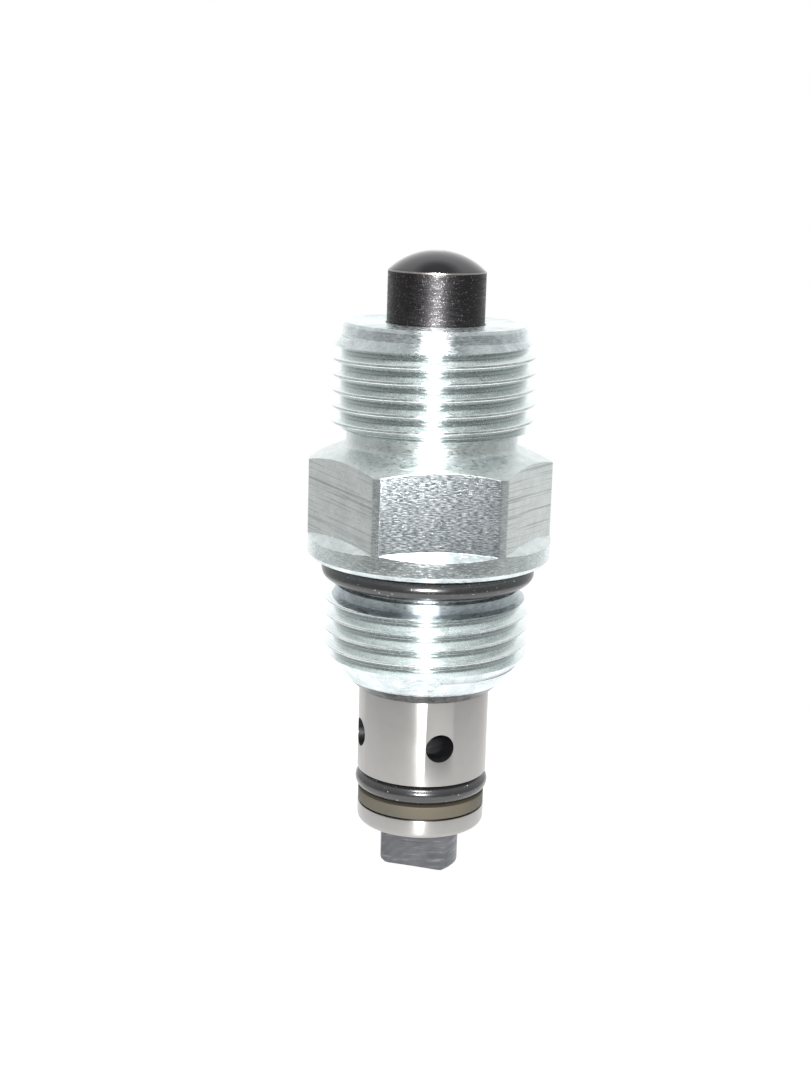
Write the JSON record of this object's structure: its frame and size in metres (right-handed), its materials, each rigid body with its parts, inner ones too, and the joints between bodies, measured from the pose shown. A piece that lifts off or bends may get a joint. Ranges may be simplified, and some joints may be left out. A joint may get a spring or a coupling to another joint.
{
  "type": "cartridge valve",
  "caption": "Screw-in hydraulic cartridge valve with hex body, threads above and below, domed push pin, ground sleeve with cross holes and a two-flat poppet tail.",
  "frame": {"origin": "on the valve's axis at the underside of the collar, the plane that seats on the manifold", "axes": "+Z along the axis towards the push pin, -Y out of one hex flat"},
  "size_m": [0.0238, 0.0238, 0.0616],
  "materials": {
    "zinc_plate": "bright zinc plating, turned and milled",
    "ground_steel": "satin ground",
    "black_oxide": "black oxide, polished dome",
    "dark_steel": "hardened, dull blue-grey",
    "spring_steel": "bright drawn wire",
    "black_rubber": "oiled nitrile rubber",
    "olive_ptfe": "filled PTFE, matte",
    "bronze": "turned bronze"
  },
  "bodies": {
    "cartridge": {"valve_body": "zinc_plate", "sleeve": "ground_steel", "boss_o_ring": "black_rubber", "sleeve_o_ring": "black_rubber", "sleeve_snap_ring": "spring_steel", "nose_o_ring": "black_rubber", "nose_backup_ring": "olive_ptfe", "pin_spring_washer": "dark_steel", "pin_return_spring": "spring_steel", "stem_guide": "bronze", "poppet_spring": "spring_steel"},
    "pin": {"push_pin": "black_oxide", "pin_o_ring": "black_rubber", "pin_backup_ring": "olive_ptfe"},
    "poppet": {"poppet": "dark_steel", "spring_retainer": "dark_steel", "stem_nut": "spring_steel"}
  },
  "joints": [
    {"name": "pin_press", "type": "slide", "parent": "cartridge", "child": "pin", "axis": [0, 0, -1], "range_m": [0, 0.0025], "stiffness_N_per_m": 3000, "springref_m": -0.004, "deforming": ["pin_return_spring"]},
    {"name": "poppet_lift", "type": "slide", "parent": "cartridge", "child": "poppet", "axis": [0, 0, -1], "range_m": [0, 0.0025], "stiffness_N_per_m": 1200, "springref_m": -0.005, "deforming": ["poppet_spring"]}
  ],
  "couplings": [
    {"joint": "poppet_lift", "follows": "pin_press", "ratio": 1}
  ]
}
